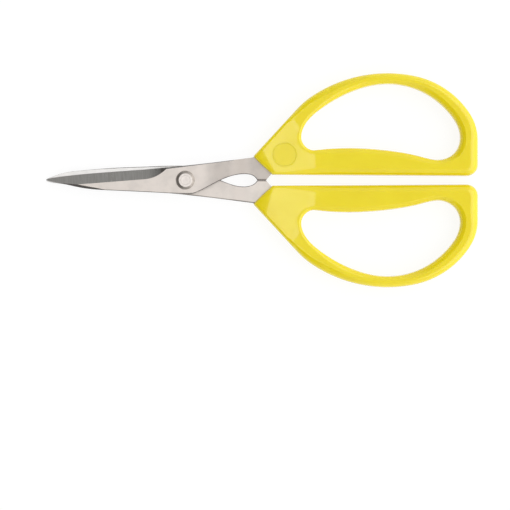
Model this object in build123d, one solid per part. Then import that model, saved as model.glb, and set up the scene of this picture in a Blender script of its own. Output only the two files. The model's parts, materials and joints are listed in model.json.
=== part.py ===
"""Small all-purpose scissors: two stamped steel blades on one rivet, with a moulded nylon loop on each.

Both halves are ground and joined in the same way, and the rear one has the fuller spine. The rear half is
drawn as a front half and turned over about the X axis. The design frame has the pivot axis on Z, the tips
towards +X and the plane between the blades at Z = 0. Each part is then moved to the row frame: the
middle of the closed scissors, on the surface that they lie on. Millimetres.
"""

import os
from math import atan2, cos, degrees, radians, sin

from build123d import *

# ---------------------------------------------------------------- driving dimensions
TIP_X = 51.2  # pivot to blade tip
HEEL_X = -107.5  # pivot to the far end of the finger loops
HANDLE_THICK = 7.6  # the moulded handles, over both faces
PLATE = 1.8  # steel thickness
RIDE_GAP = 0.04  # between the two blades where they ride on each other

# blade plans, from the tip back to the pivot
TIP = (TIP_X, -0.35)
FRONT_SPINE = ((45.6, 1.2), (38.0, 2.82), (28.0, 3.7), (12.0, 4.45), (-1.5, 4.95))
REAR_SPINE = ((45.6, 2.5), (38.0, 3.62), (28.0, 4.45), (12.0, 5.1), (-1.5, 5.35))
FRONT_NOSE = (51.0, -0.05)  # the blunt end of the blade runs from the tip to here
REAR_NOSE = (50.7, 0.65)

# blade grinds
EDGE_LAND = 0.12  # thickness left at the cutting edge
BEVEL_WIDTH = 3.6  # main bevel, from the edge to the flat face
WHEEL_R = 25.0  # grinding wheel that leaves the curved end of the main bevel
BEVEL_END_X = 15.0  # where the wheel starts to leave the plate
EDGE_LINE = ((13.0, -4.1), (40.0, -1.98))  # straight run of the cutting edge
TIP_GRIND_LINE = ((29.0, 3.55), (40.0, 1.5))  # inner limit of the small grind on the spine
TIP_GRIND_ANGLE = 35.0
TIP_GRIND_START_X = 20.0
HEEL_CHAMFER_LINE = ((-24.0, -8.05), (7.0, -4.05))  # inner limit of the edge break behind the bevel
HOLLOW_DEPTH = 0.12  # concave grind on the inner face
HOLLOW_WIDTH = 7.4
HOLLOW_START_X = 9.5  # the pivot end of the hollow
PRESSED_ROUND = 0.25  # rounded edges that the press and the tumbler leave

# shank and tang
JOGGLE_X = (-17.0, -23.0)  # the shank steps to the middle plane between these
JOGGLE_R = 14.0  # of its two soft bends
STOP_X = (-26.4, -29.6)  # the flats that meet when the scissors are closed
STOP_GAP = 0.08  # between the two stop flats
SHANK_MIDDLE_Y = -3.0  # a level between the shank's two sides
TANG_CORNERS = (
    (-31.5, -2.25), (-33.4, -3.75), (-39.2, -4.9), (-40.6, -8.0), (-38.4, -16.2), (-35.6, -18.0),
    (-27.0, -9.7), (-24.7, -8.35),
)
KEY_HOLE_R = 1.6  # holes in the tang that the nylon flows through
KEY_HOLES = ((-34.0, -12.6), (-36.6, -7.2))

# pivot
SHOULDER_R = 2.0
SHOULDER_CLEARANCE = 0.03
TENON_R = 1.5
HEAD_BASE_R = 3.45
HEAD_TOP_R = 2.45
HEAD_WALL = 0.2  # straight part of the head's rim, under its bevel
HEAD_HEIGHT = 0.75
HEAD_RING_R = 1.7  # shallow ring left by the riveting punch
RING_DEPTH = 0.06
WASHER_R = 3.4
WASHER_THICK = 0.6
WASHER_CHAMFER = 0.2
TAIL_R = 2.5
TAIL_HEIGHT = 0.7
TAIL_ROUND = 0.45

# handle
NOSE_OUTER = (-24.8, -8.7)
NOSE_INNER = (-31.9, -1.95)
BAR_END_Y = -1.5
BACK_LENGTH = 24.0  # straight run from the nose to the bow
BACK_ANGLE = 47.3  # of the straight back to the X axis
BOW_ARCS = ((30.0, 13.5), (50.0, 45.0), (32.0, 46.0))  # radius and sweep in degrees, nose to heel
NOSE_FILLET = 0.8
HEEL_FILLET = 4.2
RIM_FILLET = 1.7  # rounding of the loop's edges

HALF = HANDLE_THICK / 2
INNER_Z = RIDE_GAP / 2
OUTER_Z = INNER_Z + PLATE
BEYOND = 200.0  # size of a cutting block, well past the part
ON_FACE = 1e-3  # an edge this near a height lies on it


# ---------------------------------------------------------------- helpers
def prism(outline, low, high):
    """The closed outline, in the XY plane, as a solid between two heights."""
    return extrude(Plane.XY.offset(low) * make_face(outline), high - low)


def line_directions(line):
    """Unit vectors along a level line and to its left."""
    (x0, y0), (x1, y1) = line
    along = Vector(x1 - x0, y1 - y0, 0).normalized()
    return along, Vector(-along.Y, along.X, 0)


def slope_cut(line, falls_left, height, angle_deg, x_low, x_high):
    """The block over a slope that starts at a level line and falls to one side of it."""
    along, left = line_directions(line)
    downhill = left * falls_left
    tilt = radians(angle_deg)
    normal = Vector(0, 0, cos(tilt)) + downhill * sin(tilt)
    plane = Plane(origin=(*line[0], height), x_dir=along, z_dir=normal)
    block = plane * Box(BEYOND, BEYOND, BEYOND, align=(Align.CENTER, Align.CENTER, Align.MIN))
    window = Pos((x_low + x_high) / 2, 0, 0) * Box(x_high - x_low, BEYOND, BEYOND)
    return block & window


def turned_over(shape):
    """The same part on the other half."""
    return shape.rotate(Axis.X, 180)


# ---------------------------------------------------------------- blade
def blade_outline(nose, spine_points):
    """Plan of the pressed blank: blade, ride, shank with its stop, and the tang inside the handle."""
    stop_y = -STOP_GAP / 2
    blunt = Line(TIP, nose)
    spine = Spline(nose, *spine_points, tangents=[(-1.0, 0.36), (-1.0, 0.0)])
    shoulder = Spline(
        spine @ 1, (-4.6, 4.2), (-12.0, 0.4), (-17.5, -1.72), (-22.6, -2.25), (STOP_X[0], stop_y),
        tangents=[(-1.0, 0.0), (-0.55, 1.0)],
    )
    root = Polyline(shoulder @ 1, (STOP_X[1], stop_y), *TANG_CORNERS)
    edge = Spline(
        root @ 1, (-10.0, -6.45), (3.0, -5.05), *EDGE_LINE, (46.6, -1.2), TIP,
        tangents=[(1.0, 0.125), (1.0, 0.32)],
    )
    return Curve() + [blunt, spine, shoulder, root, edge]


def joggle_band():
    """Side view of the plate: level over the blade, stepped to the middle plane along the shank."""
    near, far = JOGGLE_X
    middle = -PLATE / 2
    low = [(BEYOND, INNER_Z), (near, INNER_Z), (far, middle), (-BEYOND, middle)]
    high = [(x, z + PLATE) for x, z in reversed(low)]
    side = make_face(Polyline(*low, *high, close=True))
    bends = side.vertices().filter_by(lambda corner: far - 1 < corner.X < near + 1)
    return extrude(Plane.XZ * fillet(bends, JOGGLE_R), BEYOND / 2, both=True)


def main_bevel():
    """What the wheel takes off to make the main bevel: flat along the edge, curved at its end."""
    along, left = line_directions(EDGE_LINE)
    tilt = atan2(PLATE - EDGE_LAND, BEVEL_WIDTH)
    downhill = left * -cos(tilt) - Vector(0, 0, sin(tilt))
    plane = Plane(origin=(*EDGE_LINE[0], INNER_Z + EDGE_LAND), x_dir=along, z_dir=downhill)
    start = BEVEL_END_X - EDGE_LINE[0][0]
    lift_off = (start - WHEEL_R, WHEEL_R)
    profile = Curve() + [
        RadiusArc((start, 0), lift_off, WHEEL_R),
        Polyline(lift_off, (BEYOND, WHEEL_R), (BEYOND, 0), (start, 0)),
    ]
    return extrude(plane * make_face(profile), BEYOND / 2, both=True)


def hollow_grind():
    """The long shallow hollow on the inner face, from the edge towards the spine."""
    along = line_directions(EDGE_LINE)[0]
    radius = HOLLOW_WIDTH**2 / (8 * HOLLOW_DEPTH)
    axis_z = INNER_Z + HOLLOW_DEPTH - radius
    turn = Rot(0, 0, degrees(atan2(along.Y, along.X)))
    cylinder = Pos(*EDGE_LINE[0], 0) * turn * Pos(0, HOLLOW_WIDTH / 2, axis_z) * Rot(0, 90, 0) * Cylinder(
        radius, BEYOND
    )
    window = Pos(HOLLOW_START_X + BEYOND / 2, 0, 0) * Box(BEYOND, BEYOND, PLATE)
    return cylinder & window


def pressed_edges(plate):
    """The edges of both faces along the spine and the inner side of the shank, from the tip to the stop."""
    level = plate.edges().filter_by(lambda edge: abs((edge % 0.5).Z) < 0.5)
    return level.filter_by(lambda edge: (edge @ 0.5).X > STOP_X[0] and (edge @ 0.5).Y > SHANK_MIDDLE_Y)


def blade(nose, spine_points, bore_r):
    """One half's steel: the blank, stepped at the shank, then ground, bored and pierced for the nylon."""
    plate = prism(blade_outline(nose, spine_points), -PLATE * 2, PLATE * 2) & joggle_band()
    plate = fillet(pressed_edges(plate), PRESSED_ROUND)
    plate -= main_bevel()
    plate -= slope_cut(TIP_GRIND_LINE, 1, OUTER_Z, TIP_GRIND_ANGLE, TIP_GRIND_START_X, BEYOND)
    plate -= slope_cut(HEEL_CHAMFER_LINE, -1, OUTER_Z, 45, TANG_CORNERS[-1][0], HEEL_CHAMFER_LINE[1][0])
    plate -= hollow_grind()
    plate -= Cylinder(bore_r, BEYOND)
    for x, y in KEY_HOLES:
        plate -= Pos(x, y, 0) * Cylinder(KEY_HOLE_R, BEYOND)
    return plate


# ---------------------------------------------------------------- handle
def handle_outline():
    """Outer plan of one moulded loop: straight back, bow of tangent arcs, heel, straight bar and nose."""
    angle = radians(BACK_ANGLE)
    start = Vector(*NOSE_OUTER)
    chain = [Line(start, start - Vector(cos(angle), sin(angle)) * BACK_LENGTH)]
    for radius, sweep in BOW_ARCS:
        chain.append(JernArc(chain[-1] @ 1, chain[-1] % 1, radius, -sweep))
    # the last arc turns the bow parallel to Y just as it reaches the heel
    place, heading = chain[-1] @ 1, chain[-1] % 1
    turn = atan2(heading.X, heading.Y)
    closing_r = (place.X - HEEL_X) / (1 - cos(turn))
    chain.append(JernArc(place, heading, closing_r, degrees(turn)))
    chain.append(Polyline(chain[-1] @ 1, (HEEL_X, BAR_END_Y), NOSE_INNER, NOSE_OUTER))
    return Curve() + chain


def hole_outline():
    """The finger hole: one smooth closed curve."""
    points = [
        (-47.5, -11.05), (-60.0, -11.85), (-74.0, -11.0), (-86.5, -8.75), (-94.2, -7.65), (-99.4, -10.8),
        (-100.8, -16.4), (-96.2, -25.3), (-87.0, -32.3), (-74.5, -35.25), (-61.0, -32.4), (-49.5, -25.9),
        (-43.6, -19.6), (-43.0, -14.0),
    ]
    return Spline(*points, periodic=True)


def round_corner(face, corner, radius):
    """The face with one of its corners rounded."""
    return fillet(face.vertices().sort_by_distance((*corner, 0))[0], radius)


def handle(steel):
    """The moulding: the plan with rounded corners and rims, less the steel that it is cast round."""
    face = make_face(handle_outline())
    face = round_corner(face, (HEEL_X, BAR_END_Y), HEEL_FILLET)
    face = round_corner(face, NOSE_OUTER, NOSE_FILLET)
    face = round_corner(face, NOSE_INNER, NOSE_FILLET)
    face -= make_face(hole_outline())
    body = extrude(Plane.XY.offset(-HALF) * face, HANDLE_THICK)
    rims = body.edges().filter_by(lambda edge: abs(abs((edge @ 0.5).Z) - HALF) < ON_FACE)
    return fillet(rims, RIM_FILLET) - steel


# ---------------------------------------------------------------- pivot
def turned(section):
    """A solid turned about the pivot from the corners of its section, as radius and height."""
    return revolve(Plane.XZ * make_face(Polyline(*section, close=True)), Axis.Z)


def rivet():
    """Bevelled head, shoulder in the front blade, tenon in the rear blade and a spun-over tail."""
    top_z = OUTER_Z + HEAD_HEIGHT
    washer_z = -OUTER_Z - WASHER_THICK
    end_z = washer_z - TAIL_HEIGHT
    return turned([
        (0, end_z), (TAIL_R - TAIL_ROUND, end_z), (TAIL_R, end_z + TAIL_ROUND), (TAIL_R, washer_z),
        (TENON_R, washer_z), (TENON_R, -INNER_Z), (SHOULDER_R, -INNER_Z), (SHOULDER_R, OUTER_Z),
        (HEAD_BASE_R, OUTER_Z), (HEAD_BASE_R, OUTER_Z + HEAD_WALL), (HEAD_TOP_R, top_z),
        (HEAD_RING_R + RING_DEPTH * 2, top_z), (HEAD_RING_R, top_z - RING_DEPTH),
        (HEAD_RING_R - RING_DEPTH * 2, top_z), (0, top_z),
    ])


def washer():
    """Flat burr washer between the rear blade and the spun tail."""
    top = -OUTER_Z
    low = top - WASHER_THICK
    chamfered = WASHER_R - WASHER_CHAMFER
    return turned([
        (TENON_R, top), (TENON_R, low), (chamfered, low), (WASHER_R, low + WASHER_CHAMFER), (WASHER_R, top),
    ])


# ---------------------------------------------------------------- assembly
def main():
    front_blade = blade(FRONT_NOSE, FRONT_SPINE, SHOULDER_R + SHOULDER_CLEARANCE)
    rear_blade = turned_over(blade(REAR_NOSE, REAR_SPINE, TENON_R))
    front_handle = handle(front_blade)
    rear_handle = turned_over(handle(turned_over(rear_blade)))
    parts = {
        "front_blade": front_blade,
        "front_handle": front_handle,
        "rear_blade": rear_blade,
        "rear_handle": rear_handle,
        "pivot_rivet": rivet(),
        "rivet_washer": washer(),
    }
    to_row = Pos(-(TIP_X + HEEL_X) / 2, 0, HALF)
    os.makedirs("parts", exist_ok=True)
    for name, shape in parts.items():
        export_step(to_row * shape, f"parts/{name}.step")
        print(name, round(shape.volume, 1), "mm3")


main()
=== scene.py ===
import json
import math

import bmesh
import bpy
import numpy as np
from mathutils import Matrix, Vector

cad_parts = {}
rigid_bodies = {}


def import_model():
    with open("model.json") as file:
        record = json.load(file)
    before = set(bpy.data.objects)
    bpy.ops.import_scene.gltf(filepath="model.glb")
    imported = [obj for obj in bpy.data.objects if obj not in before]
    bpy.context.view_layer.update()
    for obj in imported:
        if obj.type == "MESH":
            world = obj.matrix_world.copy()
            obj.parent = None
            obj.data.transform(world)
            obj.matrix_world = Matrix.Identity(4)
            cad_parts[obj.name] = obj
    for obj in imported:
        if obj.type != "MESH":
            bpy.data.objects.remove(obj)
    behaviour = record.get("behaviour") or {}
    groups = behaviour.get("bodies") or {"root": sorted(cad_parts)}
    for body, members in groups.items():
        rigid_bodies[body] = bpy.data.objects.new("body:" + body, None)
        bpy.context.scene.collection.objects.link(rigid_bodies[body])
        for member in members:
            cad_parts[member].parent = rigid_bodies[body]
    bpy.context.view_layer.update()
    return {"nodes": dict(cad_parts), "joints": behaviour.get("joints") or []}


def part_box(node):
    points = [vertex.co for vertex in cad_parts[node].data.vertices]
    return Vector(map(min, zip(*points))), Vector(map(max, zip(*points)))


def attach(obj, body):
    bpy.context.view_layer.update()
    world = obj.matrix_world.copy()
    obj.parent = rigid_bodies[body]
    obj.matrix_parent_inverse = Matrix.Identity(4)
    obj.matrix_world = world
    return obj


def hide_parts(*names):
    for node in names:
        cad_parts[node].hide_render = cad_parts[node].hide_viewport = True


MM = 0.001
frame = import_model()

# ---------------------------------------------------------------- places taken from the frame
PIVOT = Vector(frame["joints"][0]["pos_m"])
REAR_BODY, FRONT_BODY = frame["joints"][0]["parent"], frame["joints"][0]["child"]
HANDLE_LOW, HANDLE_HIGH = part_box("front_handle")
MIDDLE_Z = (HANDLE_LOW.z + HANDLE_HIGH.z) / 2
HALF_THICK = (HANDLE_HIGH.z - HANDLE_LOW.z) / 2 / MM

# ---------------------------------------------------------------- handle dimensions
# In millimetres from the pivot. "Across" is the distance from the scissors' middle line, so both halves share
# these numbers. Most pairs in brackets are ranges, over which a feature comes in or goes out.
OUTER_SPACING, HOLE_SPACING = 0.42, 0.30  # of the points along the outline and the finger hole
ARC_STEPS, FLAT_STEPS = 7, 16  # of a section's roundings and of the face between them

# the round section gives way to the flat web over these x, at the outer wall and at the finger hole
WEB_X, HOLE_WEB_X = (-54.0, -37.0), (-60.0, -44.0)
WEB_EDGE_R, HOLE_WEB_EDGE_R = 1.0, 1.1  # rounding of the web's edges
WEB_DROP = 0.12  # the web's faces lie this much below the crown of the loop
WEB_DROP_RUN = (-2.0, 1.5)  # the drop's ramp, from the break
WEB_BREAK, WEB_TAPER = -46.3, 0.062  # the web thins towards the blades from here, by this slope on each face
WEB_BREAK_BEND, WEB_BREAK_LEAN = 11.0, 0.70  # beyond this distance across, the break leans towards the blades
WEB_BEND_SOFT, WEB_TAPER_SOFT = 2.0, 2.6  # how gradually the lean and the taper start

BAR_EDGE_R = 2.9  # rounding of the bar, towards the other handle
HOLE_EDGE_R = 2.1
BOW_EDGE_R, FACETED_EDGE_R = 2.2, 1.1  # rounding of the bow's outer side, plain and where it has its facet
FACETED_X = (-74.0, -64.0)
BAR_TO_BOW_ACROSS = (12.0, 22.0)  # the bar's rounding gives way to the bow's
RIM_SHARE = 0.47  # share of the section's width that each rounding may take

BOW_FACET_SLOPE, BOW_FACET_SOFT = 0.42, 0.14  # fall of the bow's outer facet, from its ridge to the wall
BOW_STEP, BOW_STEP_RUN = 0.12, (0.0, 0.9)  # the extra drop just outside the ridge
BOW_RIDGE_X = (-71.0, -65.0, -53.0, -44.0, -39.0)
BOW_RIDGE_IN = (-0.4, 1.6, 2.5, 1.8, 1.2)  # distance of the ridge from the wall at each of those
BOW_FACET_PLACE = {"x_out": (-41.0, -36.5), "across_in": (18.0, 22.0)}

CREASE = 0.50  # slope with which these roundings start
BAR_CREASE_PLACE = {"x_in": (-53.0, -47.0), "x_out": (-40.0, -36.0), "across_out": (6.0, 8.0)}
HOLE_CREASE_PLACE = {"x_in": (-63.0, -53.0), "x_out": (-46.5, -44.5), "across_out": (12.0, 13.0)}
HEEL_CREASE_PLACE = {"x_out": (-90.0, -76.0), "across_in": (6.5, 10.0)}

NOSE_SLOPE, NOSE_SOFT = 0.13, 0.35  # fall of the wedge-shaped facet behind the nose, and how softly it starts
# upper limit of the nose facet on the two faces of the moulding, as two (x, across) points
NOSE_FACET_A = ((-32.9, 2.6), (-28.3, 11.0))
NOSE_FACET_B = ((-31.9, 2.9), (-29.9, 11.0))

DRAFT = 0.10  # how far the walls lean in from the parting line to the rounding
FLASH_OUT, FLASH_UP = 0.035, 0.10  # the parting line stands out this far, and slopes back within this height
WALL_SHARE = 0.55  # a row of points this far up the wall
SLICE_UP = 1.17  # the CAD handles' outlines are taken this far over the middle plane

# a blank ring on the front handle, in place of a mark
RING_CENTRE, RING_R, RING_WIDTH, RING_HIGH = (-36.5, 9.3), 4.3, 0.5, 0.05
RING_SUNK, RING_ROOT = 0.04, 0.3  # its back starts this far under the web's face, and its foot is this deep
RING_FOOT = 0.05  # its foot is this much wider, on each side
RING_TURNS, RING_STEPS = 144, 8  # sections round the ring, and steps over its back
RING_SATIN = (0.35, 0.15)  # the web is satin inside: full and gone this far within the middle radius


# ---------------------------------------------------------------- outlines, sliced from the CAD handles
def slice_loops(obj, height):
    """Closed outlines of a mesh at one height, as arrays of (x, y) in metres, the longest first."""
    mesh = obj.data
    points, links = {}, {}
    for polygon in mesh.polygons:
        corners = [tuple(mesh.vertices[i].co) for i in polygon.vertices]
        ends = []
        for edge in zip(corners, corners[1:] + corners[:1]):
            low, high = sorted(edge, key=lambda corner: corner[2])
            if low[2] < height < high[2]:
                t = (height - low[2]) / (high[2] - low[2])
                points[low, high] = (low[0] + t * (high[0] - low[0]), low[1] + t * (high[1] - low[1]))
                ends.append((low, high))
        if len(ends) == 2:
            links.setdefault(ends[0], []).append(ends[1])
            links.setdefault(ends[1], []).append(ends[0])
    loops = []
    while links:
        here = min(links)
        loop = [here]
        while True:
            onward = [k for k in links.pop(here, []) if k in links]
            if not onward:
                break
            here = onward[0]
            loop.append(here)
        loops.append(np.array([points[k] for k in loop]))
    return sorted(loops, key=lambda loop: -np.ptp(loop[:, 0]))


LEAST_GAP, LEAST_TURN = 0.02, 1e-3  # in millimetres, and as a sine


def without_crowding(loop):
    """The loop without points that crowd each other or are in line with their neighbours."""
    kept = [loop[0]]
    for p in loop[1:]:
        if np.hypot(*(p - kept[-1])) > LEAST_GAP:
            kept.append(p)
    loop = np.array(kept)
    before, after = loop - np.roll(loop, 1, 0), np.roll(loop, -1, 0) - loop
    turn = np.abs(before[:, 0] * after[:, 1] - before[:, 1] * after[:, 0])
    turn /= np.hypot(*before.T) * np.hypot(*after.T)
    return loop[turn > LEAST_TURN]


LONG_SIDE = 3.0  # a side this many times longer than a neighbour is straight
LEAST_SPACING, BEND_SPACING = 0.12, 0.22  # closest points, and the spacing in a bend as a share of its radius


def smooth_samples(loop, spacing):
    """Points along a smooth curve through a closed polygon. Its long straight sides stay straight."""
    chord = np.roll(loop, -1, 0) - loop
    length = np.hypot(*chord.T)
    direction = chord / length[:, None]
    long_side = length > LONG_SIDE * np.minimum(np.roll(length, 1), np.roll(length, -1))
    before, last = np.roll(direction, 1, 0), np.roll(length, 1)
    tangent = (before * length[:, None] + direction * last[:, None]) / (length + last)[:, None]
    tangent = np.where(np.roll(long_side, 1)[:, None], before, tangent)
    tangent = np.where(long_side[:, None], direction, tangent)
    tangent /= np.hypot(*tangent.T)[:, None]
    samples = []
    for i, size in enumerate(length):
        j = (i + 1) % len(loop)
        bend = math.acos(np.clip(tangent[i] @ tangent[j], -1, 1))
        in_bend = max(LEAST_SPACING, BEND_SPACING * size / max(bend, 1e-6))
        steps = max(1, round(size / min(spacing, in_bend)))
        t = np.arange(steps)[:, None] / steps
        samples.append(
            (2 * t**3 - 3 * t**2 + 1) * loop[i]
            + (t**3 - 2 * t**2 + t) * size * tangent[i]
            + (3 * t**2 - 2 * t**3) * loop[j]
            + (t**3 - t**2) * size * tangent[j]
        )
    return np.concatenate(samples)


def signed_area(loop):
    x, y = loop.T
    return float((x * np.roll(y, -1) - y * np.roll(x, -1)).sum() / 2)


def distance_to_loop(points, loop):
    """Distance from each point to a closed polygon, and how far round it the nearest place is."""
    start, chord = loop, np.roll(loop, -1, 0) - loop
    size = np.hypot(*chord.T)
    along = np.concatenate([[0], np.cumsum(size)[:-1]])
    best = np.full(len(points), 1e9)
    where = np.zeros(len(points))
    for a, d, s, base in zip(start, chord, size, along):
        t = np.clip(((points - a) @ d) / (s * s), 0, 1)
        gap = np.hypot(*(points - a - t[:, None] * d).T)
        nearer = gap < best
        best = np.where(nearer, gap, best)
        where = np.where(nearer, base + t * s, where)
    return best, where


def handle_outlines(node, side):
    """The handle's outer outline and its finger hole in (x, across) millimetres, both anticlockwise."""
    outer, hole = slice_loops(frame["nodes"][node], MIDDLE_Z + SLICE_UP * MM)[:2]
    made = []
    for loop in (outer, hole):
        loop = (loop - np.array([PIVOT.x, PIVOT.y])) / MM * np.array([1, side])
        loop = loop if signed_area(loop) > 0 else loop[::-1]
        made.append(without_crowding(loop))
    return made


# ---------------------------------------------------------------- handle surface
def smoothstep(low, high, value):
    t = np.clip((value - low) / (high - low), 0, 1)
    return t * t * (3 - 2 * t)


def presence(x, across, x_in=None, x_out=None, across_in=None, across_out=None):
    """One where a feature is fully there, fading to zero over its ranges of x and of the distance across."""
    share = np.ones_like(x)
    for value, rise in ((x, x_in), (across, across_in)):
        if rise:
            share = share * smoothstep(*rise, value)
    for value, fade in ((x, x_out), (across, across_out)):
        if fade:
            share = share * (1 - smoothstep(*fade, value))
    return share


def soft_ramp(run, soft):
    """Zero before the start and the run itself after it, with the corner between them rounded."""
    return 0.5 * (run + np.sqrt(run**2 + soft**2))


def edge_fall(distance, radius, crease):
    """Fall of a rounded edge below the top at a distance from its wall. A crease starts it with a slope."""
    inside = np.clip(radius - distance, 0, radius)
    return radius - np.sqrt(radius**2 - inside**2) + crease * inside * (1 - inside / radius)


def face_height(plan, facet):
    """Height of one face above the middle plane before its edges are rounded."""
    bend = soft_ramp(plan[:, 1] - WEB_BREAK_BEND, WEB_BEND_SOFT)
    web_run = plan[:, 0] - WEB_BREAK - WEB_BREAK_LEAN * bend
    (x0, a0), (x1, a1) = facet
    along = np.array([x1 - x0, a1 - a0]) / math.hypot(x1 - x0, a1 - a0)
    downhill = (plan - np.array([x0, a0])) @ np.array([along[1], -along[0]])
    top = HALF_THICK - WEB_DROP * smoothstep(*WEB_DROP_RUN, web_run)
    return top - WEB_TAPER * soft_ramp(web_run, WEB_TAPER_SOFT) - NOSE_SLOPE * soft_ramp(downhill, NOSE_SOFT)


EVENING = 41  # stations over which their steps round the hole are evened out


def paired_stations(outer, hole):
    """The finger-hole point that each outline point pairs with, for sections that are evenly spread."""
    _, where = distance_to_loop(outer, hole)
    size = np.hypot(*(np.roll(hole, -1, 0) - hole).T)
    whole = size.sum()
    step = (np.roll(where, -1) - where + whole / 2) % whole - whole / 2
    step = np.maximum(step, 0) + 1e-4
    step *= whole / step.sum()
    window = np.hanning(EVENING)
    window /= window.sum()
    wrap = EVENING // 2
    step = np.convolve(np.concatenate([step[-wrap:], step, step[:wrap]]), window, "valid")
    evened = np.concatenate([[0], np.cumsum(step)[:-1]])
    turn = np.angle(np.exp(2j * np.pi * (where - evened) / whole).mean()) * whole / (2 * np.pi)
    evened = (evened + turn) % whole
    along = np.concatenate([[0], np.cumsum(size)])
    closed = np.vstack([hole, hole[:1]])
    return np.column_stack([np.interp(evened, along, closed[:, i]) for i in (0, 1)])


def inward_normals(loop):
    """Unit normals to the left of an anticlockwise loop, into it."""
    tangent = np.roll(loop, -1, 0) - np.roll(loop, 1, 0)
    tangent /= np.hypot(*tangent.T)[:, None]
    return np.column_stack([-tangent[:, 1], tangent[:, 0]])


def edge_radii(outer, paired, width):
    """Radii of each section's two roundings, at the outer wall and at the finger hole."""
    web = smoothstep(*WEB_X, outer[:, 0])
    web_hole = smoothstep(*HOLE_WEB_X, paired[:, 0])
    bow_r = BOW_EDGE_R + (FACETED_EDGE_R - BOW_EDGE_R) * smoothstep(*FACETED_X, outer[:, 0])
    loop_r = BAR_EDGE_R + (bow_r - BAR_EDGE_R) * smoothstep(*BAR_TO_BOW_ACROSS, outer[:, 1])
    outer_r = np.minimum(loop_r * (1 - web) + WEB_EDGE_R * web, RIM_SHARE * width)
    hole_r = np.minimum(HOLE_EDGE_R * (1 - web_hole) + HOLE_WEB_EDGE_R * web_hole, RIM_SHARE * width)
    return outer_r, hole_r


def section_reach(width, lean_outer, outer_r, hole_r):
    """Distances of a section's face points from the outer wall, closer together over the roundings."""
    arc_share = 1 - np.cos(np.linspace(0, math.pi / 2, ARC_STEPS + 1)[1:])
    first = (DRAFT + outer_r[:, None] * arc_share) / lean_outer[:, None]
    last = width[:, None] - (DRAFT + hole_r[:, None] * arc_share[::-1])
    share = np.linspace(0, 1, FLAT_STEPS + 2)[1:-1]
    middle = first[:, -1:] + (last[:, :1] - first[:, -1:]) * share
    first_wall = np.full((len(width), 1), DRAFT) / lean_outer[:, None]
    last_wall = width[:, None] - DRAFT
    return np.hstack([first_wall, first, middle, last, last_wall])


def rim_fall(flat, outer, hole, outer_r, hole_r):
    """How far the roundings, their creases and the bow's outer facet lie below the face."""
    d_outer = np.maximum(distance_to_loop(flat, outer)[0] - DRAFT, 0)
    d_hole = np.maximum(distance_to_loop(flat, hole)[0] - DRAFT, 0)
    x, across = flat[:, 0], flat[:, 1]
    crease_outer = CREASE * presence(x, across, **BAR_CREASE_PLACE)
    crease_hole = CREASE * presence(x, across, **HOLE_CREASE_PLACE)
    crease_hole = crease_hole + CREASE * presence(x, across, **HEEL_CREASE_PLACE)
    facet_run = np.interp(x, BOW_RIDGE_X, BOW_RIDGE_IN) - d_outer
    facet = BOW_FACET_SLOPE * soft_ramp(facet_run, BOW_FACET_SOFT)
    facet = facet + BOW_STEP * smoothstep(*BOW_STEP_RUN, facet_run)
    fall = edge_fall(d_outer, outer_r, crease_outer) + edge_fall(d_hole, hole_r, crease_hole)
    return fall + presence(x, across, **BOW_FACET_PLACE) * facet


LEAST_COSINE = 0.45  # between a section and its wall's normal, so that no rounding is stretched too far


def handle_mesh(name, node, side):
    """One moulded loop as a ring of closed sections, from the outer wall over each face to the hole."""
    outer_corners, hole_corners = handle_outlines(node, side)
    outer = smooth_samples(outer_corners, OUTER_SPACING)
    hole = smooth_samples(hole_corners, HOLE_SPACING)
    paired = paired_stations(outer, hole)
    inward = paired - outer
    width = np.hypot(*inward.T)
    inward /= width[:, None]
    lean_outer = np.clip((inward * inward_normals(outer)).sum(1), LEAST_COSINE, 1)
    outer_r, hole_r = edge_radii(outer, paired, width)
    reach = section_reach(width, lean_outer, outer_r, hole_r)
    plan = outer[:, None, :] + inward[:, None, :] * reach[:, :, None]
    flat = plan.reshape(-1, 2)
    count = reach.shape[1]
    fall = rim_fall(flat, outer, hole, np.repeat(outer_r, count), np.repeat(hole_r, count))

    # the halves are the same moulding turned over, so their upper faces have different facets
    facets = (NOSE_FACET_A, NOSE_FACET_B) if side < 0 else (NOSE_FACET_B, NOSE_FACET_A)
    columns = []
    for sign, facet in zip((1, -1), facets):
        height = (face_height(flat, facet) - fall).reshape(-1, count)
        surface = np.dstack([plan, sign * height[:, :, None]])
        outer_wall = wall_points(outer, -inward / lean_outer[:, None], sign * height[:, 0])
        hole_wall = wall_points(paired, inward, sign * height[:, -1])
        half = np.concatenate([outer_wall, surface, hole_wall[:, ::-1]], axis=1)
        columns.append(half if sign > 0 else half[:, ::-1][:, 1:-1])
    section = np.concatenate(columns, axis=1)
    return mesh_from_rings(name, section, side)


def wall_points(foot, outward, top):
    """Points up a wall from the parting line to just under its rounding; the wall leans in by the draft."""
    up = np.sign(top)
    rows = ((0.0, 0.0 * up), (-FLASH_OUT, FLASH_UP * up), (-DRAFT * WALL_SHARE, top * WALL_SHARE))
    return np.stack([np.column_stack([foot + outward * out, height]) for out, height in rows], axis=1)


def mesh_from_rings(name, rings, side):
    """A closed, ring-shaped quad mesh. Rings hold (x, across, height) in millimetres from the pivot."""
    stations, count = rings.shape[:2]
    points = rings.reshape(-1, 3) * np.array([1, side, 1]) * MM
    points += np.array([PIVOT.x, PIVOT.y, MIDDLE_Z])
    i, j = np.meshgrid(np.arange(stations), np.arange(count), indexing="ij")
    i2, j2 = (i + 1) % stations, (j + 1) % count
    quads = np.stack([i * count + j, i2 * count + j, i2 * count + j2, i * count + j2], axis=-1)
    quads = quads.reshape(-1, 4)
    mesh = bpy.data.meshes.new(name)
    mesh.from_pydata(points.tolist(), [], (quads if side > 0 else quads[:, ::-1]).tolist())
    mesh.validate()
    for polygon in mesh.polygons:
        polygon.use_smooth = True
    obj = bpy.data.objects.new(name, mesh)
    bpy.context.scene.collection.objects.link(obj)
    return obj


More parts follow.
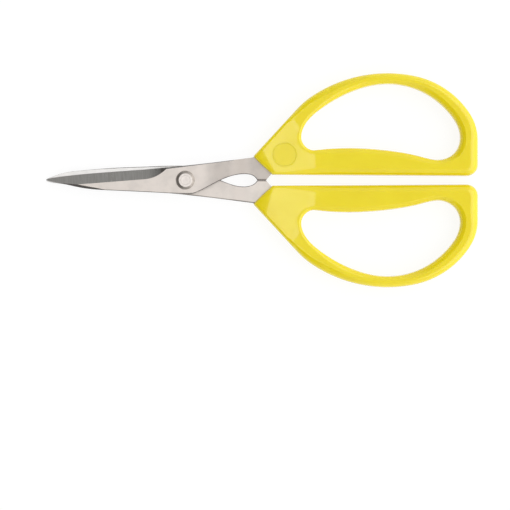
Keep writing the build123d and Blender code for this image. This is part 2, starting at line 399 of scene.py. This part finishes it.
def ring_mesh(name, side):
    """A raised ring with a rounded back, standing on the web's upper face and rooted in it."""
    half = RING_WIDTH / 2
    turn = np.linspace(0, math.pi, RING_STEPS + 1)
    profile = [(-half - RING_FOOT, -RING_ROOT)]
    profile += [(-math.cos(a) * half, (RING_HIGH + RING_SUNK) * math.sin(a) - RING_SUNK) for a in turn]
    profile += [(half + RING_FOOT, -RING_ROOT)]
    profile = np.array(profile)
    radius = RING_R + profile[:, 0]
    rings = []
    for a in np.linspace(0, 2 * math.pi, RING_TURNS + 1)[:-1]:
        plan = np.column_stack([RING_CENTRE[0] + radius * math.cos(a), RING_CENTRE[1] + radius * math.sin(a)])
        rings.append(np.column_stack([plan, face_height(plan, NOSE_FACET_A) + profile[:, 1]]))
    return mesh_from_rings(name, np.array(rings)[::-1], side)


def joined(keeper, other):
    """The first object, now holding both meshes."""
    merged = bmesh.new()
    merged.from_mesh(keeper.data)
    merged.from_mesh(other.data)
    merged.to_mesh(keeper.data)
    merged.free()
    bpy.data.objects.remove(other)
    return keeper


# ---------------------------------------------------------------- turned pieces
def lathe_mesh(name, profile, centre, turns=144):
    """A piece turned on a vertical axis. Its profile of (radius, z) runs from axis to axis, or is closed."""
    on_axis = profile[0][0] < 1e-9 and profile[-1][0] < 1e-9
    body = bmesh.new()
    rings = []
    for radius, z in profile[1:-1] if on_axis else profile:
        angles = [2 * math.pi * k / turns for k in range(turns)]
        ring = [(centre.x + radius * math.cos(a), centre.y + radius * math.sin(a), z) for a in angles]
        rings.append([body.verts.new(p) for p in ring])
    pairs = list(zip(rings, rings[1:]))
    if not on_axis:
        pairs.append((rings[-1], rings[0]))
    for low, high in pairs:
        for k in range(turns):
            body.faces.new((low[k], high[k], high[(k + 1) % turns], low[(k + 1) % turns]))
    if on_axis:
        for ring, (_, z) in ((rings[0], profile[0]), (rings[-1], profile[-1])):
            tip = body.verts.new((centre.x, centre.y, z))
            for k in range(turns):
                body.faces.new((ring[k], ring[(k + 1) % turns], tip))
    bmesh.ops.recalc_face_normals(body, faces=body.faces)
    mesh = bpy.data.meshes.new(name)
    body.to_mesh(mesh)
    body.free()
    for polygon in mesh.polygons:
        polygon.use_smooth = True
    obj = bpy.data.objects.new(name, mesh)
    bpy.context.scene.collection.objects.link(obj)
    return obj


def rounded(profile, radii, steps=5):
    """The profile with each corner replaced by an arc-like curve of about that radius."""
    made = [profile[0]]
    for before, here, after, radius in zip(profile, profile[1:], profile[2:], radii):
        p, a, b = Vector(here), Vector(before), Vector(after)
        reach = min(radius, (a - p).length * 0.49, (b - p).length * 0.49)
        if reach < 1e-9:
            made.append(tuple(p))
            continue
        first, last = p + (a - p).normalized() * reach, p + (b - p).normalized() * reach
        for k in range(steps + 1):
            t = k / steps
            made.append(tuple(first * (1 - t) ** 2 + p * 2 * t * (1 - t) + last * t**2))
    made.append(profile[-1])
    return made


TAIL_R, TENON_R, SHOULDER_R = 2.5, 1.5, 2.0  # of the rivet, in millimetres
WASHER_BORE_R = 1.53
WASHER_EDGES = (0.08, 0.16, 0.05, 0.04)  # roundings, in millimetres: bore and rim below, rim and bore above


def rivet_mesh(name):
    """The rivet: clinched tail, tenon through the washer, shoulder through both blades, and turned head."""
    bottom, top = (corner.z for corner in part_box("pivot_rivet"))
    washer_bottom, washer_top = (corner.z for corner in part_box("rivet_washer"))
    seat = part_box("front_blade")[1].z
    # radius, the level that the height is measured from, the height over it, and the rounding, in millimetres
    corners = (
        (0.0, bottom, 0.02, 0.0),
        (0.7, bottom, 0.0, 0.3),
        (1.9, bottom, 0.02, 0.5),
        (TAIL_R, bottom, 0.36, 0.35),
        (TAIL_R, washer_bottom, 0.0, 0.05),
        (TENON_R, washer_bottom, 0.0, 0.0),
        (TENON_R, washer_top, 0.0, 0.0),
        (SHOULDER_R, washer_top, 0.0, 0.0),
        (SHOULDER_R, seat, 0.005, 0.0),
        (3.42, seat, 0.005, 0.0),
        (3.45, seat, 0.2, 0.05),
        (2.45, top, -0.01, 0.12),
        (1.78, top, 0.0, 0.14),
        (1.74, top, -0.025, 0.02),
        (1.66, top, -0.025, 0.02),
        (1.62, top, 0.0, 0.02),
        (0.35, top, 0.0, 0.02),
        (0.25, top, -0.02, 0.08),
        (0.0, top, -0.03, 0.0),
    )
    profile = [(radius * MM, level + height * MM) for radius, level, height, _ in corners]
    roundings = [rounding * MM for *_, rounding in corners[1:-1]]
    return lathe_mesh(name, rounded(profile, roundings), PIVOT)


def washer_mesh(name):
    """The stamped washer under the tail, with one rolled and one sharp side."""
    low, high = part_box("rivet_washer")
    inner, outer = WASHER_BORE_R * MM, (high.x - low.x) / 2
    corners = [(inner, low.z), (outer, low.z), (outer, high.z), (inner, high.z)]
    loop = rounded([corners[-1], *corners, corners[0]], [rounding * MM for rounding in WASHER_EDGES], steps=4)
    return lathe_mesh(name, loop[1:-1], PIVOT)


# ---------------------------------------------------------------- material building blocks
# Noise scales are per metre, and distances are in metres unless MM is named.
class Nodes:
    """Short calls for adding shader nodes to one tree. The values given are numbers or nodes' outputs."""

    def __init__(self, tree):
        self.tree = tree
        tree.nodes.clear()

    def add(self, kind, values=(), **settings):
        node = self.tree.nodes.new(kind)
        for key, value in settings.items():
            setattr(node, key, value)
        for key, value in dict(values).items():
            if isinstance(value, bpy.types.NodeSocket):
                self.tree.links.new(value, node.inputs[key])
            else:
                node.inputs[key].default_value = value
        return node

    def math(self, operation, a, b=0.0, c=0.0, clamp=False):
        node = self.add("ShaderNodeMath", {0: a, 1: b, 2: c}, operation=operation, use_clamp=clamp)
        return node.outputs[0]

    def vector_math(self, operation, a, b=(0.0, 0.0, 0.0), output="Vector"):
        return self.add("ShaderNodeVectorMath", {0: a, 1: b}, operation=operation).outputs[output]

    def split(self, vector):
        return self.add("ShaderNodeSeparateXYZ", {0: vector}).outputs

    def ramp(self, value, low, high, to_low=0.0, to_high=1.0):
        values = {"Value": value, "From Min": low, "From Max": high, "To Min": to_low, "To Max": to_high}
        node = self.add("ShaderNodeMapRange", values, interpolation_type="SMOOTHSTEP")
        return node.outputs["Result"]

    def mix(self, factor, a, b):
        node = self.add("ShaderNodeMix", data_type="RGBA")
        for key, value in (("Factor", factor), (6, a), (7, b)):
            socket = node.inputs[key]
            if isinstance(value, bpy.types.NodeSocket):
                self.tree.links.new(value, socket)
            else:
                socket.default_value = value
        return node.outputs[2]

    def noise(self, vector, scale, detail=2.0, roughness=0.5):
        values = {"Vector": vector, "Scale": scale, "Detail": detail, "Roughness": roughness}
        return self.add("ShaderNodeTexNoise", values).outputs["Fac"]

    def stretched(self, vector, scale, turn=0.0):
        """The vector turned about Z and scaled, for noise with a grain."""
        spun = self.add("ShaderNodeVectorRotate", {"Vector": vector, "Angle": turn}, rotation_type="Z_AXIS")
        return self.vector_math("MULTIPLY", spun.outputs[0], scale)

    def hairlines(self, place, scale, turn, width):
        """Thin lines where a stretched noise passes through its middle value."""
        noise = self.noise(self.stretched(place, scale, turn), 1.0, 1.0, 0.4)
        return self.ramp(self.math("ABSOLUTE", self.math("SUBTRACT", noise, 0.5)), 0.0, width, 1.0, 0.0)

    def along_blades(self, along, zone, to_low=0.0, to_high=1.0):
        """A ramp between two distances in millimetres from the pivot towards the tips."""
        start, end = (PIVOT.x + distance * MM for distance in zone)
        return self.ramp(along, start, end, to_low, to_high)

    def pivot_reach(self, place):
        """Level distance from the pivot's axis."""
        offset = self.vector_math("SUBTRACT", place, tuple(PIVOT))
        level_offset = self.vector_math("MULTIPLY", offset, (1.0, 1.0, 0.0))
        return self.vector_math("LENGTH", level_offset, output="Value")

    def bump(self, height, strength, distance, normal=None):
        values = {"Height": height, "Strength": strength, "Distance": distance}
        if normal is not None:
            values["Normal"] = normal
        return self.add("ShaderNodeBump", values).outputs[0]

    def surface(self, **values):
        shader = self.add("ShaderNodeBsdfPrincipled", {k.replace("_", " "): v for k, v in values.items()})
        output = self.add("ShaderNodeOutputMaterial")
        self.tree.links.new(shader.outputs[0], output.inputs[0])


def material(name):
    made = bpy.data.materials.new(name)
    made.use_nodes = True
    return made, Nodes(made.node_tree)


def rgb(r, g, b):
    return (r, g, b, 1.0)


# ---------------------------------------------------------------- moulded nylon
def ring_place():
    """The middle of the blank ring, in metres in the row frame."""
    height = float(face_height(np.array([RING_CENTRE]), NOSE_FACET_A)[0])
    return (PIVOT.x + RING_CENTRE[0] * MM, PIVOT.y - RING_CENTRE[1] * MM, MIDDLE_Z + height * MM)


ORANGE_PEEL, RIPPLE = {"strength": 0.10, "distance": 0.00002}, {"strength": 0.12, "distance": 0.00005}


def nylon():
    """Glossy yellow nylon: faint flow mottling, orange peel, hairline scratches and handling haze."""
    made, n = material("yellow_nylon")
    place = n.add("ShaderNodeTexCoord").outputs["Object"]
    mottle = n.noise(place, 70.0, 3.0, 0.55)
    flow = n.noise(n.stretched(place, (45.0, 260.0, 120.0)), 1.0, 4.0, 0.6)
    colour = n.mix(n.ramp(mottle, 0.35, 0.68), rgb(0.87, 0.715, 0.006), rgb(0.84, 0.68, 0.004))
    colour = n.mix(n.math("MULTIPLY", n.ramp(flow, 0.45, 0.75), 0.35), colour, rgb(0.88, 0.74, 0.014))
    haze = n.ramp(n.noise(place, 120.0, 5.0, 0.62), 0.42, 0.72)
    line_a = n.hairlines(place, scale=(60.0, 1500.0, 300.0), turn=0.5, width=0.012)
    line_b = n.hairlines(place, scale=(80.0, 1900.0, 300.0), turn=-0.9, width=0.010)
    patch = n.ramp(n.noise(place, 160.0, 2.0), 0.52, 0.66)
    hairs = n.math("MULTIPLY", n.math("MAXIMUM", line_a, line_b), patch)
    rough = n.math("MULTIPLY_ADD", haze, 0.08, 0.13)
    rough = n.math("MULTIPLY_ADD", hairs, 0.12, rough)
    from_ring = n.vector_math("DISTANCE", place, ring_place(), "Value")
    satin_inside, satin_outside = ((RING_R - distance) * MM for distance in RING_SATIN)
    satin = n.ramp(from_ring, satin_inside, satin_outside, 1.0, 0.0)
    rough = n.math("MULTIPLY_ADD", satin, 0.22, rough)
    normal = n.bump(n.noise(place, 900.0, 3.0, 0.5), **ORANGE_PEEL)
    normal = n.bump(n.noise(place, 180.0, 2.0), **RIPPLE, normal=normal)
    normal = n.bump(hairs, strength=-0.25, distance=0.000006, normal=normal)
    blasted = n.noise(place, 4200.0, 2.0)
    normal = n.bump(blasted, strength=n.math("MULTIPLY", satin, 0.6), distance=0.00003, normal=normal)
    values = {
        "Base Color": colour,
        "Roughness": rough,
        "IOR": 1.53,
        "Normal": normal,
        "Subsurface Weight": 0.12,
        "Subsurface Radius": (1.0, 0.7, 0.12),
        "Subsurface Scale": 0.0012,
        "Coat Weight": 0.35,
        "Coat Roughness": 0.07,
        "Coat IOR": 1.5,
    }
    n.surface(**values)
    return made


# ---------------------------------------------------------------- steel
LEANING = (0.6, 0.95)  # normals with an upward share between these lean away from level
FACET_AREA = 2.5  # least area of a ground facet, in square millimetres


def ground_facets(obj):
    """Unit normals of the blade's ground facets: its larger flat areas that lean away from level."""
    areas = {}
    for polygon in obj.data.polygons:
        if LEANING[0] < abs(polygon.normal.z) < LEANING[1]:
            key = tuple(round(c, 2) for c in polygon.normal)
            areas[key] = areas.get(key, 0.0) + polygon.area
    return [Vector(key).normalized() for key, area in sorted(areas.items()) if area > FACET_AREA * MM * MM]


# shank colours of the front and the rear blade: light, dark, and where the shank is bent. The front shank is
# darker than the rear's, a painted shade, and the bent part is lighter, a painted light.
SHANK_TINTS = (
    (rgb(0.600, 0.548, 0.507), rgb(0.550, 0.507, 0.471), rgb(0.64, 0.59, 0.55)),
    (rgb(0.780, 0.720, 0.668), rgb(0.720, 0.667, 0.622), rgb(0.92, 0.86, 0.81)),
)
# Where looks show along the blades, in millimetres from the pivot towards the tips: a look is absent at the
# first value of a pair and full at the second.
POLISH_IN = (-2.0, 8.0)  # the inner face's polish
TIP_PAINTED_REFLECTION_IN = (12.0, 18.0)  # the last part of the steep ground facets that carry a painted dark reflection
SHANK_IN = (-6.0, -12.0)
BENDS_IN, BENDS_OUT = (-15.0, -19.0), (-25.0, -21.0)
STOP_IN, STOP_OUT = (-32.5, -29.0), (-24.0, -26.5)  # a dark strip of painted shade where the shanks meet when closed
STOP_HALF_WIDTH = (0.15, 0.6)  # the strip fades out between these distances from the middle line
SHANK_RIM_IN = (4.0, -2.0)
# two points of the rear shank's outer edge, and the depths where a painted shade along it is full and gone
SHANK_RIM_A, SHANK_RIM_B = (-24.7, 8.35), (-3.4, 5.72)
SHANK_EDGE_SHADE_DEPTHS = (0.10, 0.55)
SHANK_RIM_SLOPE = (SHANK_RIM_B[1] - SHANK_RIM_A[1]) / (SHANK_RIM_B[0] - SHANK_RIM_A[0])
# the y of that edge's line, in metres, where x is 0
SHANK_RIM_Y = PIVOT.y + SHANK_RIM_A[1] * MM - SHANK_RIM_SLOPE * (PIVOT.x + SHANK_RIM_A[0] * MM)
FLAT = (0.93, 0.97)  # a face is flat when its normal's upward share is over these
RUBBED = (0.018, 0.006)  # the other blade's arcs come in between these distances from the pivot, in metres


def blade_steel(name, blade, edge_angle, inner_up):
    """Stamped stainless blade: satin flats, cross-ground facets, dull sheared edges, polished inner face,
    with painted dark reflections on the facets and edges and painted shade and light on the shanks.
    """
    made, n = material(name)
    coords = n.add("ShaderNodeTexCoord")
    place, face_normal = coords.outputs["Object"], coords.outputs["Normal"]
    along, across = n.split(place)[:2]
    facing = n.split(face_normal)[2]
    steep = n.math("ABSOLUTE", facing)

    # where each finish shows
    is_flat = n.ramp(steep, *FLAT)
    is_ground = is_flat
    for facet in ground_facets(blade):
        likeness = n.vector_math("DOT_PRODUCT", face_normal, tuple(facet), "Value")
        is_ground = n.math("MAXIMUM", is_ground, n.ramp(likeness, 0.990, 0.996))
    is_wall = n.math("SUBTRACT", 1.0, is_ground)
    inner = n.ramp(facing, *FLAT) if inner_up else n.ramp(facing, -FLAT[1], -FLAT[0], 1.0, 0.0)
    inner = n.math("MULTIPLY", inner, n.along_blades(along, POLISH_IN))
    stop_painted_shade = n.math("MULTIPLY", n.along_blades(along, STOP_IN), n.along_blades(along, STOP_OUT))
    strip_edge, strip_end = (distance * MM for distance in STOP_HALF_WIDTH)
    on_strip = n.ramp(n.math("ABSOLUTE", across), strip_edge, strip_end, 1.0, 0.0)
    stop_painted_shade = n.math("MULTIPLY", stop_painted_shade, on_strip)
    formed = n.math("MULTIPLY", n.along_blades(along, BENDS_IN), n.along_blades(along, BENDS_OUT))
    formed = n.math("MULTIPLY", formed, is_flat)

    # mottling, grain, scratches, and the arcs rubbed by the other blade
    mottle = n.noise(place, 240.0, 5.0, 0.6)
    grain = n.noise(n.stretched(place, (260.0, 2600.0, 800.0), -edge_angle), 1.0, 5.0, 0.6)
    cross = n.noise(n.stretched(place, (2400.0, 90.0, 300.0), -edge_angle), 1.0, 6.0, 0.65)
    line_a = n.hairlines(place, scale=(70.0, 2600.0, 500.0), turn=-edge_angle + 0.35, width=0.011)
    line_b = n.hairlines(place, scale=(90.0, 3100.0, 500.0), turn=-edge_angle - 0.6, width=0.009)
    patch = n.ramp(n.noise(place, 210.0, 2.0), 0.5, 0.62)
    scratches = n.math("MULTIPLY", n.math("MAXIMUM", line_a, line_b), patch)
    reach = n.pivot_reach(place)
    arc_place = n.add("ShaderNodeCombineXYZ", {"X": n.math("MULTIPLY", reach, 5200.0)}).outputs[0]
    arcs = n.noise(arc_place, 1.0, 4.0, 0.7)
    rubbed = n.math("MULTIPLY", n.ramp(reach, *RUBBED), inner)

    # colours of the flats, the ground facets, the sheared walls and the inner face, and how they meet; the
    # facets and walls carry painted dark reflections, the shanks painted shade and painted light
    warm = n.mix(n.ramp(mottle, 0.35, 0.7), rgb(0.775, 0.712, 0.662), rgb(0.710, 0.657, 0.613))
    # The ground facets' colour is far darker than bare steel: their cross-ground tone, with a painted dark
    # reflection. The steeper facets, the spine's grind, are painted near black, more so towards the tips, a
    # painted dark reflection.
    ground = n.mix(n.ramp(cross, 0.3, 0.7), rgb(0.32, 0.312, 0.298), rgb(0.262, 0.256, 0.242))
    spine_painted_reflection = n.mix(n.ramp(cross, 0.3, 0.7), rgb(0.12, 0.112, 0.105), rgb(0.075, 0.07, 0.065))
    near_tip = n.along_blades(along, TIP_PAINTED_REFLECTION_IN, 0.55, 1.0)
    ground = n.mix(n.math("MULTIPLY", n.ramp(steep, 0.88, 0.84), near_tip), ground, spine_painted_reflection)
    # The walls and pressed rounds are near black: a dull shear zone, darkened further as a painted dark
    # reflection that draws the blade's outline.
    wall = n.mix(n.ramp(mottle, 0.35, 0.65), rgb(0.14, 0.13, 0.12), rgb(0.08, 0.072, 0.066))
    polished = n.mix(n.ramp(mottle, 0.35, 0.65), rgb(0.90, 0.88, 0.86), rgb(0.84, 0.825, 0.805))
    light, dark, bends_painted_light = SHANK_TINTS[inner_up]
    shank = n.mix(n.ramp(mottle, 0.35, 0.7), light, dark)
    # the front shank's darker tint is a painted shade, and the lighter tint at the bends a painted light
    warm = n.mix(n.along_blades(along, SHANK_IN), warm, shank)
    warm = n.mix(formed, warm, bends_painted_light)
    if inner_up:
        # a painted shade line along the rear shank's outer edge
        rim = n.math("MULTIPLY_ADD", along, -SHANK_RIM_SLOPE, across)
        shade_full, shade_gone = (SHANK_RIM_Y - depth * MM for depth in SHANK_EDGE_SHADE_DEPTHS)
        rim = n.ramp(rim, shade_gone, shade_full)
        rim = n.math("MULTIPLY", rim, n.along_blades(along, SHANK_RIM_IN))
        warm = n.mix(n.math("MULTIPLY", rim, 0.85), warm, rgb(0.12, 0.10, 0.085))
    colour = n.mix(is_flat, ground, warm)
    colour = n.mix(inner, colour, polished)
    colour = n.mix(is_wall, colour, wall)
    colour = n.mix(n.math("MULTIPLY", scratches, 0.35), colour, rgb(0.58, 0.56, 0.53))
    # painted shade where the shanks meet
    colour = n.mix(n.math("MULTIPLY", stop_painted_shade, 0.85), colour, rgb(0.11, 0.085, 0.07))

    rough = n.math("MULTIPLY_ADD", mottle, 0.14, 0.27)
    rough = n.math("MULTIPLY_ADD", n.math("MULTIPLY_ADD", grain, 0.06, 0.15), is_flat, rough)
    rough = n.math("MULTIPLY_ADD", formed, 0.20, rough)
    rough = n.math("MULTIPLY_ADD", is_wall, 0.18, rough)
    rough = n.math("MULTIPLY_ADD", inner, -0.06, rough)

    off_flat = n.math("SUBTRACT", 1.0, is_flat)
    relief = n.math("MULTIPLY", n.math("MULTIPLY_ADD", grain, 0.5, n.math("MULTIPLY", mottle, 0.5)), is_flat)
    relief = n.math("ADD", relief, n.math("MULTIPLY", cross, off_flat))
    normal = n.bump(relief, strength=0.35, distance=0.00003)
    normal = n.bump(n.math("MULTIPLY", arcs, rubbed), strength=0.5, distance=0.00001, normal=normal)
    normal = n.bump(scratches, strength=-0.3, distance=0.00001, normal=normal)
    n.surface(**{"Base Color": colour, "Metallic": 1.0, "Roughness": rough, "Normal": normal})
    return made


def turned_steel(name, bright, flank):
    """Machined steel with turning rings about the pivot, and darker flanks: unpolished, and darkened further
    as a painted dark reflection.
    """
    made, n = material(name)
    coords = n.add("ShaderNodeTexCoord")
    place = coords.outputs["Object"]
    outward = n.math("MULTIPLY", n.pivot_reach(place), 9000.0)
    upward = n.math("MULTIPLY", n.split(place)[2], 7000.0)
    ring_vector = n.add("ShaderNodeCombineXYZ", {"X": outward, "Y": upward}).outputs[0]
    rings = n.noise(ring_vector, 1.0, 4.0, 0.65)
    mottle = n.noise(place, 900.0, 4.0, 0.6)
    light, dark = bright
    shade = n.math("MULTIPLY_ADD", rings, 0.6, n.math("MULTIPLY", mottle, 0.4))
    colour = n.mix(n.ramp(shade, 0.35, 0.65), light, dark)
    # the flanks' dark colour is partly their unpolished finish and partly a painted dark reflection
    steep = n.math("ABSOLUTE", n.split(coords.outputs["Normal"])[2])
    on_flank = n.ramp(steep, 0.97, 0.90)
    colour = n.mix(on_flank, colour, n.mix(n.ramp(mottle, 0.4, 0.65), flank, rgb(0.30, 0.27, 0.24)))
    rough = n.math("MULTIPLY_ADD", mottle, 0.16, 0.26)
    normal = n.bump(rings, strength=0.3, distance=0.00002)
    normal = n.bump(mottle, strength=0.15, distance=0.00002, normal=normal)
    n.surface(**{"Base Color": colour, "Metallic": 1.0, "Roughness": rough, "Normal": normal})
    return made


# ---------------------------------------------------------------- the pieces
NYLON = nylon()
front_handle = joined(handle_mesh("front_handle_moulding", "front_handle", -1), ring_mesh("ring", -1))
rear_handle = handle_mesh("rear_handle_moulding", "rear_handle", 1)
for piece, node, body in (
    (front_handle, "front_handle", FRONT_BODY),
    (rear_handle, "rear_handle", REAR_BODY),
):
    piece.data.materials.append(NYLON)
    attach(piece, body)
    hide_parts(node)

RIVET_STEEL = turned_steel(
    "turned_rivet_steel", (rgb(0.78, 0.72, 0.675), rgb(0.70, 0.65, 0.61)), rgb(0.40, 0.36, 0.325)
)
for piece, node in (
    (rivet_mesh("turned_rivet"), "pivot_rivet"),
    (washer_mesh("stamped_washer"), "rivet_washer"),
):
    piece.data.materials.append(RIVET_STEEL)
    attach(piece, REAR_BODY)
    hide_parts(node)

EDGE_ANGLE = math.radians(4.5)
for node, angle, inner_up in (("front_blade", EDGE_ANGLE, False), ("rear_blade", -EDGE_ANGLE, True)):
    blade = frame["nodes"][node]
    blade.material_slots[0].material = blade_steel(node + "_steel", blade, angle, inner_up)


# ---------------------------------------------------------------- floor, backdrop, light and camera
def plain_sheet(name, size, colour, glow):
    body = bmesh.new()
    bmesh.ops.create_grid(body, x_segments=8, y_segments=8, size=size)
    mesh = bpy.data.meshes.new(name)
    body.to_mesh(mesh)
    body.free()
    obj = bpy.data.objects.new(name, mesh)
    bpy.context.scene.collection.objects.link(obj)
    made, n = material(name)
    values = {
        "Base Color": colour,
        "Roughness": 0.9,
        "Specular IOR Level": 0.0,
        "Emission Color": rgb(1, 1, 1),
        "Emission Strength": glow,
    }
    n.surface(**values)
    mesh.materials.append(made)


plain_sheet("floor", 16.0, rgb(0.16, 0.16, 0.16), 0.87)

world = bpy.data.worlds.new("studio")
bpy.context.scene.world = world
world.use_nodes = True
n = Nodes(world.node_tree)
toward_x, _, upward = n.split(n.add("ShaderNodeTexCoord").outputs["Generated"])
dome = n.ramp(upward, 0.88, 0.97, to_low=0.84, to_high=0.59)  # dimmer straight overhead
horizon = n.ramp(upward, 0.18, 0.42, to_low=0.30, to_high=0.0)  # brighter low down
card = n.math("MULTIPLY", n.ramp(toward_x, 0.20, 0.42), n.ramp(upward, 0.30, 0.46))  # a dark card towards +X
card_shade = n.math("SUBTRACT", 1.0, n.math("MULTIPLY", card, 0.86))
level = n.math("MULTIPLY", n.math("ADD", dome, horizon), card_shade)
background = n.add("ShaderNodeBackground", {"Color": rgb(1, 1, 1), "Strength": level})
output = n.add("ShaderNodeOutputWorld")
world.node_tree.links.new(background.outputs[0], output.inputs[0])


def area_light(name, from_zenith, distance, size, radiance):
    """A softbox aimed at the middle. The angle is in degrees from overhead, towards +X."""
    light = bpy.data.lights.new(name, "AREA")
    light.shape = "RECTANGLE"
    light.size, light.size_y = size
    light.energy = radiance * math.pi * size[0] * size[1]
    obj = bpy.data.objects.new(name, light)
    bpy.context.scene.collection.objects.link(obj)
    a = math.radians(from_zenith)
    obj.location = Vector((math.sin(a), 0, math.cos(a))) * distance
    obj.rotation_euler = (0, a, 0)
    obj.visible_camera = False


area_light("overhead_panel", from_zenith=8.0, distance=1.8, size=(0.30, 0.90), radiance=1.8)
area_light("side_softbox", from_zenith=-42.0, distance=1.8, size=(1.9, 3.2), radiance=1.08)

# the camera looks straight down, turned so that the tips point left
LENS_MM, SENSOR_MM = 229.7, 36.0
CAMERA_PLACE = (2.59 * MM, 27.48 * MM, 1.2)
camera_data = bpy.data.cameras.new("camera")
camera_data.sensor_width = SENSOR_MM
camera_data.lens = LENS_MM
camera_data.clip_start, camera_data.clip_end = 0.05, 60.0
camera = bpy.data.objects.new("camera", camera_data)
bpy.context.scene.collection.objects.link(camera)
camera.location = CAMERA_PLACE
camera.rotation_euler = (0.0, 0.0, math.pi)
bpy.context.scene.camera = camera
bpy.context.scene.view_settings.view_transform = "Standard"
